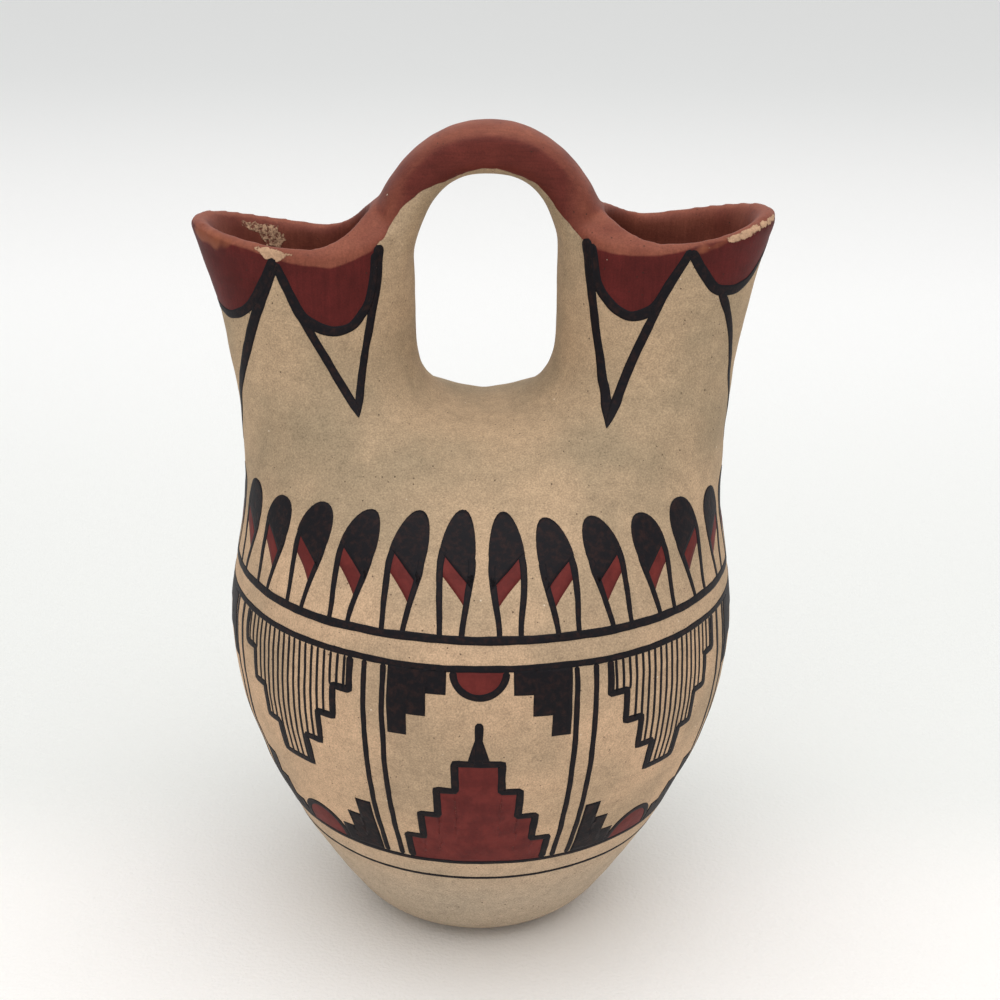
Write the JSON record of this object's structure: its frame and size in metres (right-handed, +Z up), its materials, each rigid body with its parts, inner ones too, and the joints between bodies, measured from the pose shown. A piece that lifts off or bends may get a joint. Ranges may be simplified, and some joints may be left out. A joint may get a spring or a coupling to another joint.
{
  "type": "wedding vase",
  "caption": "Round-bellied fired clay wedding vase with twin pouring spouts joined by an arched handle.",
  "frame": {"origin": "centre of the flat foot, on the surface the vase stands on", "axes": "+Z up, -Y towards the front, +X towards the spout with the higher tip"},
  "size_m": [0.1367, 0.126, 0.203],
  "materials": {
    "clay": "matte"
  },
  "bodies": {
    "root": {"vase": "clay"}
  },
  "joints": []
}
